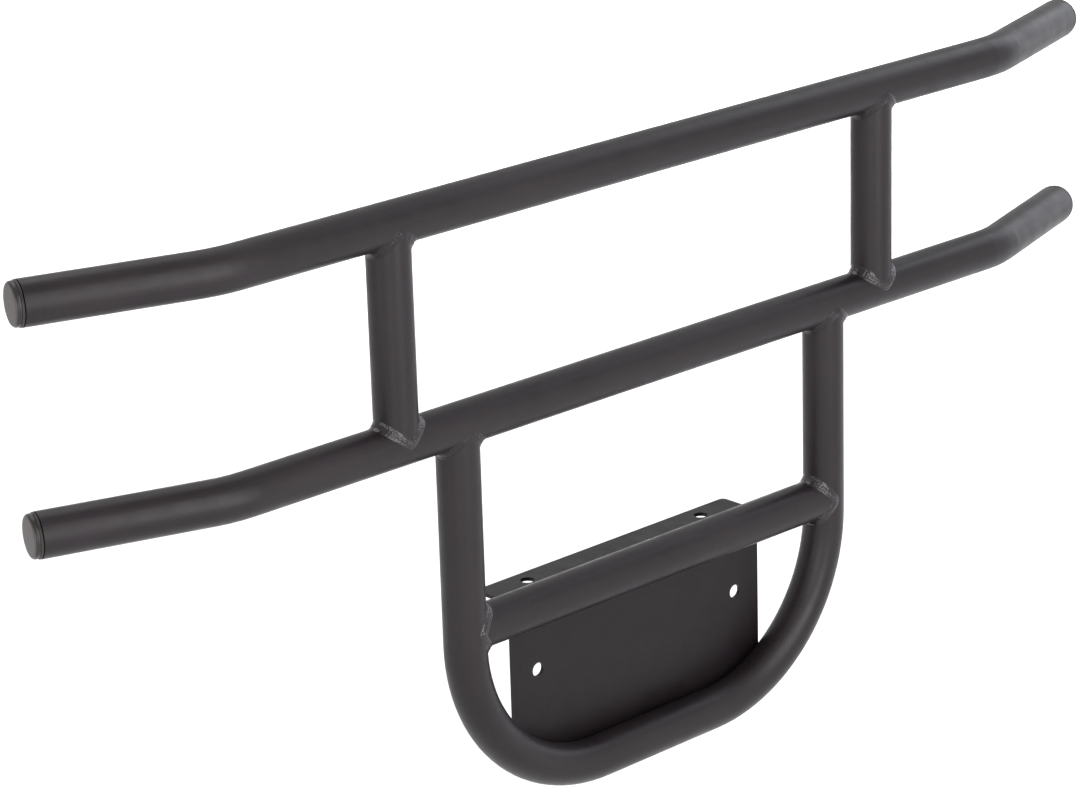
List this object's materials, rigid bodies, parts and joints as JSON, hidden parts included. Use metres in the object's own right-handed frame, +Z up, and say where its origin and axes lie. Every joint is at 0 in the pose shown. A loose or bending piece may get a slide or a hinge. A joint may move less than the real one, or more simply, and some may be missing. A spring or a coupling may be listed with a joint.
{
  "type": "front grille guard",
  "caption": "Welded round-tube front guard: two swept-back bars on uprights, a lower hoop with a crossbar, and a bent plate that bolts to the vehicle.",
  "frame": {"origin": "midway between the two bolt holes in the plate's tall face, on its back surface", "axes": "+X to the right seen from in front, along the bars; +Y back towards the vehicle, square to the plate; +Z up"},
  "size_m": [1.2592, 0.0902, 0.5822],
  "materials": {
    "tube_coat": "satin fine-textured charcoal powder coat",
    "plate_coat": "satin fine-textured charcoal powder coat on flat sheet",
    "weld_coat": "powder coat over rippled weld beads, a little glossier",
    "cap_plastic": "matte moulded plastic"
  },
  "bodies": {
    "root": {"crossbar": "tube_coat", "end_cap_lower_left": "cap_plastic", "end_cap_lower_right": "cap_plastic", "end_cap_upper_left": "cap_plastic", "end_cap_upper_right": "cap_plastic", "left_upright": "tube_coat", "lower_bar": "tube_coat", "lower_hoop": "tube_coat", "mounting_plate": "plate_coat", "right_upright": "tube_coat", "upper_bar": "tube_coat", "weld_crossbar_left": "weld_coat", "weld_crossbar_right": "weld_coat", "weld_hoop_top_left": "weld_coat", "weld_hoop_top_right": "weld_coat", "weld_plate_lower_left": "weld_coat", "weld_plate_lower_right": "weld_coat", "weld_plate_upper_left": "weld_coat", "weld_plate_upper_right": "weld_coat", "weld_upright_foot_left": "weld_coat", "weld_upright_foot_right": "weld_coat", "weld_upright_head_left": "weld_coat", "weld_upright_head_right": "weld_coat"}
  },
  "joints": []
}
